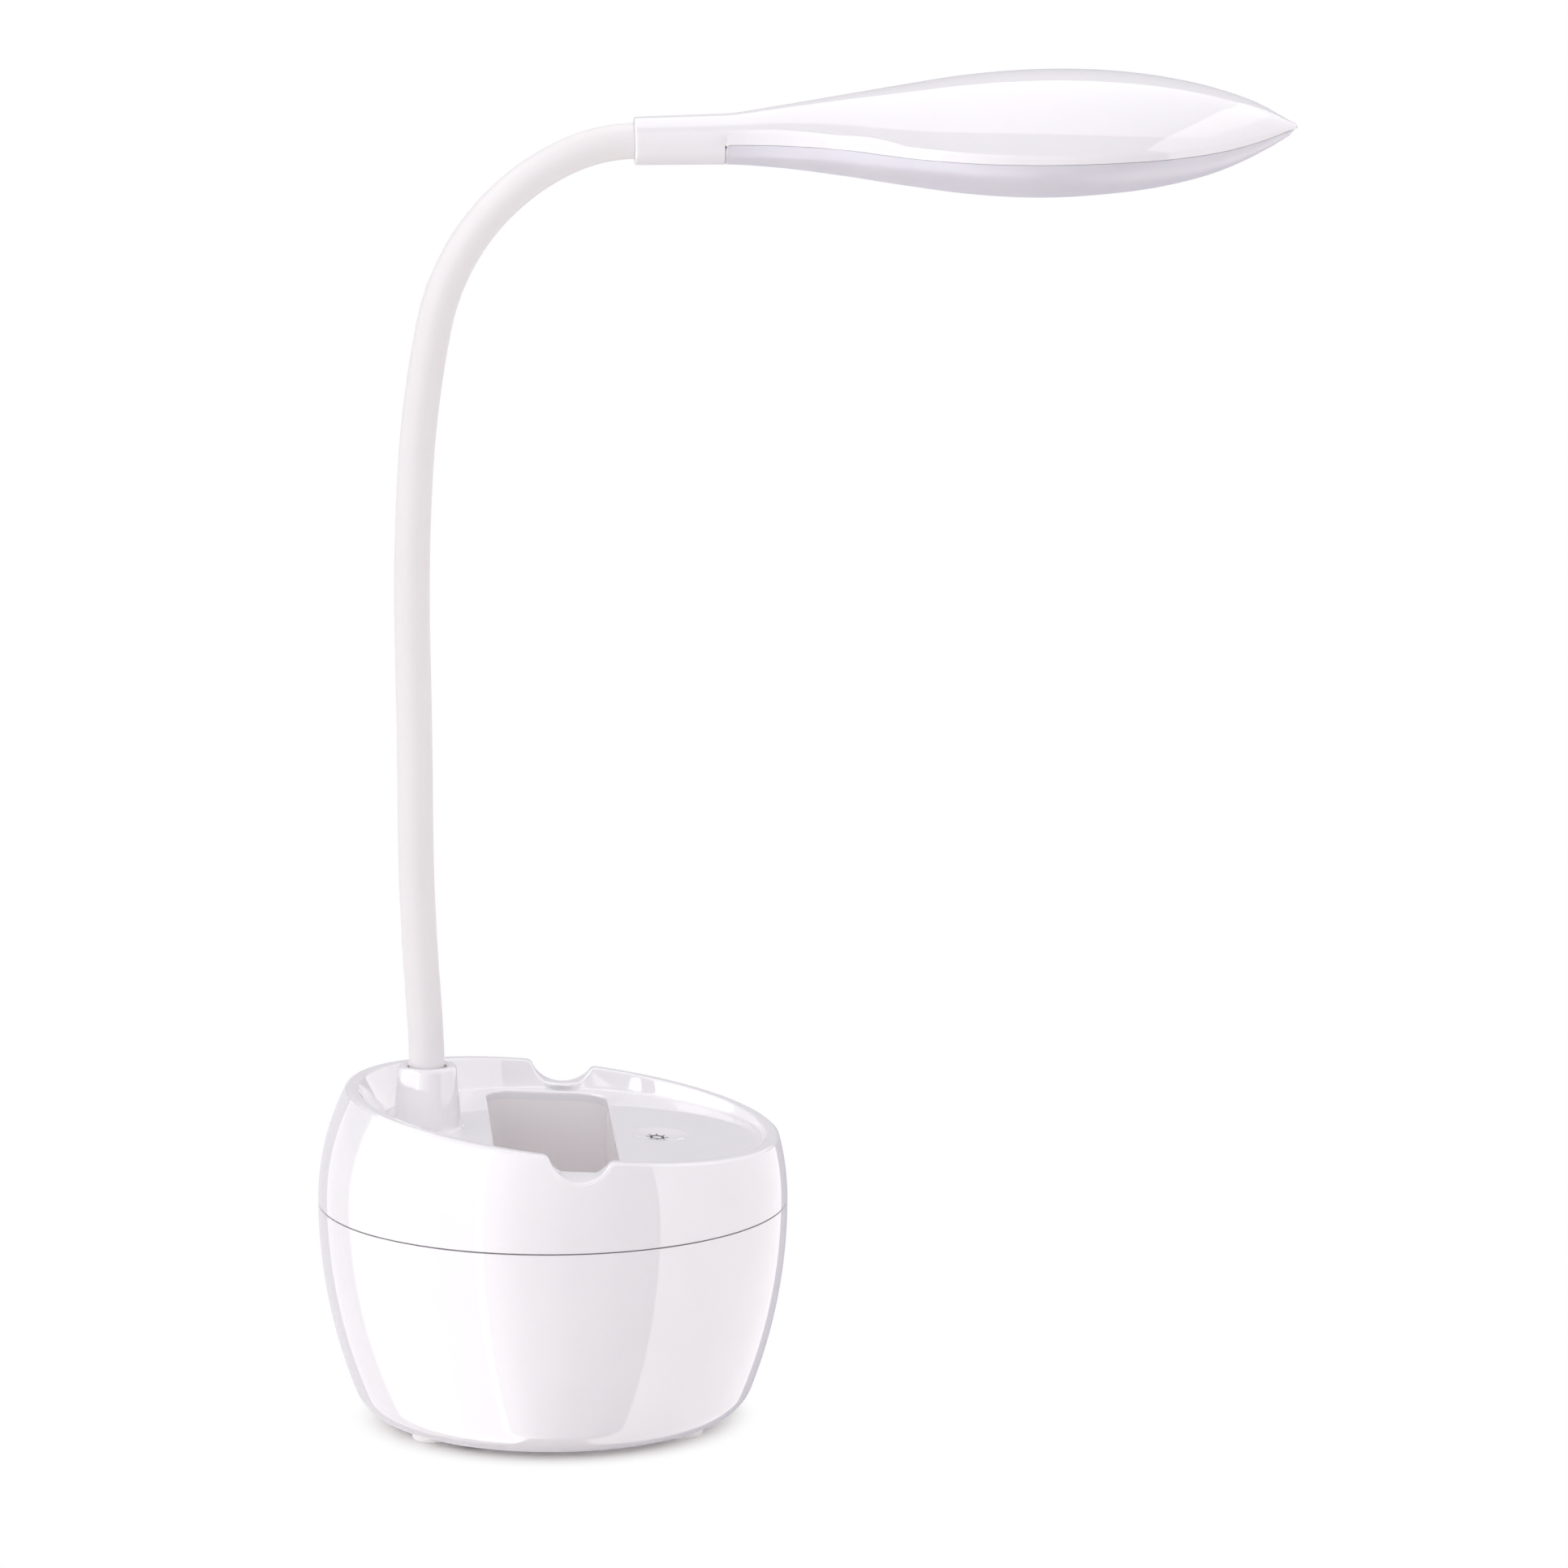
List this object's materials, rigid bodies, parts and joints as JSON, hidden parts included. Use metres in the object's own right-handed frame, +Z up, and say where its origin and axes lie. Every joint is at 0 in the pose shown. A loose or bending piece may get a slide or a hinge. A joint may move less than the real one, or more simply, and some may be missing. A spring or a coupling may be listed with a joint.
{
  "type": "gooseneck table lamp",
  "caption": "Portable LED table lamp: white bowl base with a pen well and touch dish, bendable gooseneck and a leaf-shaped head with a frosted diffuser.",
  "frame": {"origin": "on the bowl's axis, on the ground plane that the rubber feet stand on", "axes": "+Z up along the bowl's axis, +X from the neck's root towards the head's tip, +Y to the rear, where the charging socket is"},
  "size_m": [0.2487, 0.12, 0.3462],
  "materials": {
    "white_shell": "gloss white moulded ABS",
    "well_liner": "gloss white moulded ABS, seen in shade",
    "frosted_lens": "frosted opal polycarbonate",
    "neck_silicone": "satin white silicone sleeve",
    "spring_steel": "wound spring steel, drawn as a plain tube",
    "copper_lead": "insulated copper lead",
    "foot_rubber": "soft pale grey rubber",
    "plated_steel": "zinc-plated steel",
    "cell_can": "shrink-wrapped metal can",
    "cradle_plastic": "black moulded plastic",
    "circuit_board": "green solder mask",
    "chip_plastic": "black moulded resin",
    "light_board": "white-masked aluminium board",
    "light_chip": "phosphor-filled silicone in white frames",
    "socket_metal": "nickel-plated steel",
    "ferrule_brass": "turned brass",
    "touch_rubber": "conductive black foam rubber"
  },
  "bodies": {
    "base": {"upper_shell": "white_shell", "lower_shell": "white_shell", "pen_well": "well_liner", "ballast_plate": "plated_steel", "foot_1": "foot_rubber", "foot_2": "foot_rubber", "foot_3": "foot_rubber", "foot_4": "foot_rubber", "case_screws": "plated_steel", "battery_cell": "cell_can", "battery_cradle": "cradle_plastic", "control_board": "circuit_board", "board_chips": "chip_plastic", "board_screws": "plated_steel", "touch_pad": "touch_rubber", "charging_socket": "socket_metal", "socket_board": "circuit_board", "lower_ferrule": "ferrule_brass", "ferrule_nut": "plated_steel", "neck_cable": "copper_lead", "plus_lead": "copper_lead", "minus_lead": "copper_lead", "socket_lead": "copper_lead", "neck_sleeve_1": "neck_silicone", "neck_core_1": "spring_steel", "neck_lead_1": "copper_lead"},
    "link_2": {"neck_sleeve_2": "neck_silicone", "neck_core_2": "spring_steel", "neck_lead_2": "copper_lead"},
    "link_3": {"neck_sleeve_3": "neck_silicone", "neck_core_3": "spring_steel", "neck_lead_3": "copper_lead"},
    "link_4": {"neck_sleeve_4": "neck_silicone", "neck_core_4": "spring_steel", "neck_lead_4": "copper_lead"},
    "link_5": {"neck_sleeve_5": "neck_silicone", "neck_core_5": "spring_steel", "neck_lead_5": "copper_lead"},
    "link_6": {"neck_sleeve_6": "neck_silicone", "neck_core_6": "spring_steel", "neck_lead_6": "copper_lead"},
    "link_7": {"neck_sleeve_7": "neck_silicone", "neck_core_7": "spring_steel", "neck_lead_7": "copper_lead"},
    "head": {"head_shell": "white_shell", "diffuser": "frosted_lens", "led_board": "light_board", "led_chips": "light_chip", "head_screws": "plated_steel", "upper_ferrule": "ferrule_brass", "head_lead": "copper_lead", "neck_sleeve_8": "neck_silicone", "neck_core_8": "spring_steel", "neck_lead_8": "copper_lead"}
  },
  "joints": [
    {"name": "root_bend", "type": "hinge", "parent": "base", "child": "link_2", "pos_m": [-0.03288, 0, 0.11271], "axis": [0, 1, 0], "range_deg": [-25, 15]},
    {"name": "root_lean", "type": "hinge", "parent": "link_2", "child": "link_3", "pos_m": [-0.03442, 0, 0.15677], "axis": [1, 0, 0], "range_deg": [-25, 25]},
    {"name": "middle_bend", "type": "hinge", "parent": "link_3", "child": "link_4", "pos_m": [-0.0348, 0, 0.20087], "axis": [0, 1, 0], "range_deg": [-30, 20]},
    {"name": "middle_lean", "type": "hinge", "parent": "link_4", "child": "link_5", "pos_m": [-0.03384, 0, 0.24494], "axis": [0.9981, 0, -0.061], "range_deg": [-25, 25]},
    {"name": "upper_bend", "type": "hinge", "parent": "link_5", "child": "link_6", "pos_m": [-0.02887, 0, 0.28269], "axis": [0, 1, 0], "range_deg": [-30, 20]},
    {"name": "crook_turn", "type": "hinge", "parent": "link_6", "child": "link_7", "pos_m": [-0.01724, 0, 0.30793], "axis": [0.788, 0, -0.6157], "range_deg": [-30, 30]},
    {"name": "head_bend", "type": "hinge", "parent": "link_7", "child": "head", "pos_m": [0.0045, 0, 0.32522], "axis": [0, 1, 0], "range_deg": [-35, 15]}
  ]
}
